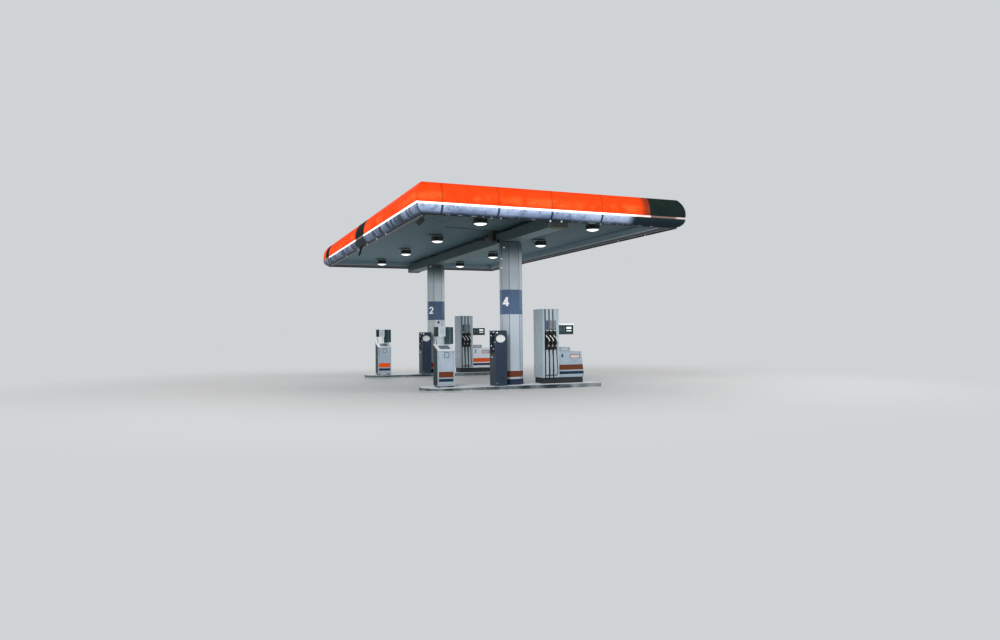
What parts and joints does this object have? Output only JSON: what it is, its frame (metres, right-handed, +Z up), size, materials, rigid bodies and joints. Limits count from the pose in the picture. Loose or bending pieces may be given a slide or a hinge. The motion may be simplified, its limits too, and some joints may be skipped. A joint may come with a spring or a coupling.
{
  "type": "filling station canopy",
  "caption": "Flat-roofed filling station canopy with a lit rounded fascia, two clad columns on pump islands, dispensers with hanging hoses, payment terminals and bins",
  "frame": {"origin": "on the ground under the middle of the roof", "axes": "+X along the pump islands, away from the bins and towards the dispensers; +Y along the row of columns, away from the picture's camera; +Z up"},
  "size_m": [7.7, 14.2, 5.29],
  "materials": {
    "kerb_concrete": "matt, worn",
    "frame_steel": "matt, dusty",
    "core_steel": "satin",
    "cladding_white": "satin",
    "band_blue": "satin",
    "skirt_blue": "satin, scuffed",
    "deck_steel": "matt, weathered",
    "ceiling_sheet": "satin, dusty",
    "trim_sheet": "satin",
    "tray_sheet": "galvanised",
    "fascia_orange": "translucent, lit",
    "strip_white": "translucent, lit",
    "band_grey": "gloss, dented",
    "rail_dark": "satin",
    "housing_dark": "satin",
    "lens_white": "opal, lit",
    "mount_grey": "satin, dusty",
    "camera_grey": "satin",
    "readout_white": "lit readout",
    "board_brown": "weathered plywood",
    "plinth_black": "satin",
    "pump_white": "satin",
    "panel_black": "moulded",
    "display_teal": "satin",
    "nozzle_black": "moulded",
    "outlet_steel": "plain",
    "hose_rubber": "smooth",
    "terminal_blue": "satin",
    "bin_grey": "satin",
    "towel_white": "satin",
    "wash_dark": "translucent"
  },
  "bodies": {
    "root": {"islands": "kerb_concrete", "column_cores": "core_steel", "column_cladding": "cladding_white", "column_bands": "band_blue", "column_skirts": "skirt_blue", "main_beam": "frame_steel", "roof_arms": "frame_steel", "edge_frame": "frame_steel", "roof_deck": "deck_steel", "ceiling": "ceiling_sheet", "ceiling_trim": "trim_sheet", "fascia_tray": "tray_sheet", "fascia_front": "fascia_orange", "fascia_rear": "fascia_orange", "fascia_left": "fascia_orange", "fascia_right": "fascia_orange", "light_strip": "strip_white", "lower_band_front": "band_grey", "lower_band_rear": "band_grey", "lower_band_left": "band_grey", "lower_band_right": "band_grey", "lip_rail": "rail_dark", "lamp_housings": "housing_dark", "lamp_lenses": "lens_white", "lamp_bars": "housing_dark", "camera_mounts": "mount_grey", "cameras": "camera_grey", "hanging_boards": "board_brown", "pump_plinths": "plinth_black", "hose_towers": "pump_white", "nozzle_panels": "panel_black", "pump_cabinets": "pump_white", "display_heads": "display_teal", "display_lids": "pump_white", "display_windows": "readout_white", "nozzles": "nozzle_black", "hose_outlets": "outlet_steel", "hoses_near": "hose_rubber", "hoses_far": "hose_rubber", "terminals": "terminal_blue", "terminal_panels": "panel_black", "bins": "bin_grey", "bin_feet": "plinth_black", "towel_boxes": "towel_white", "wash_panels": "wash_dark"}
  },
  "joints": []
}
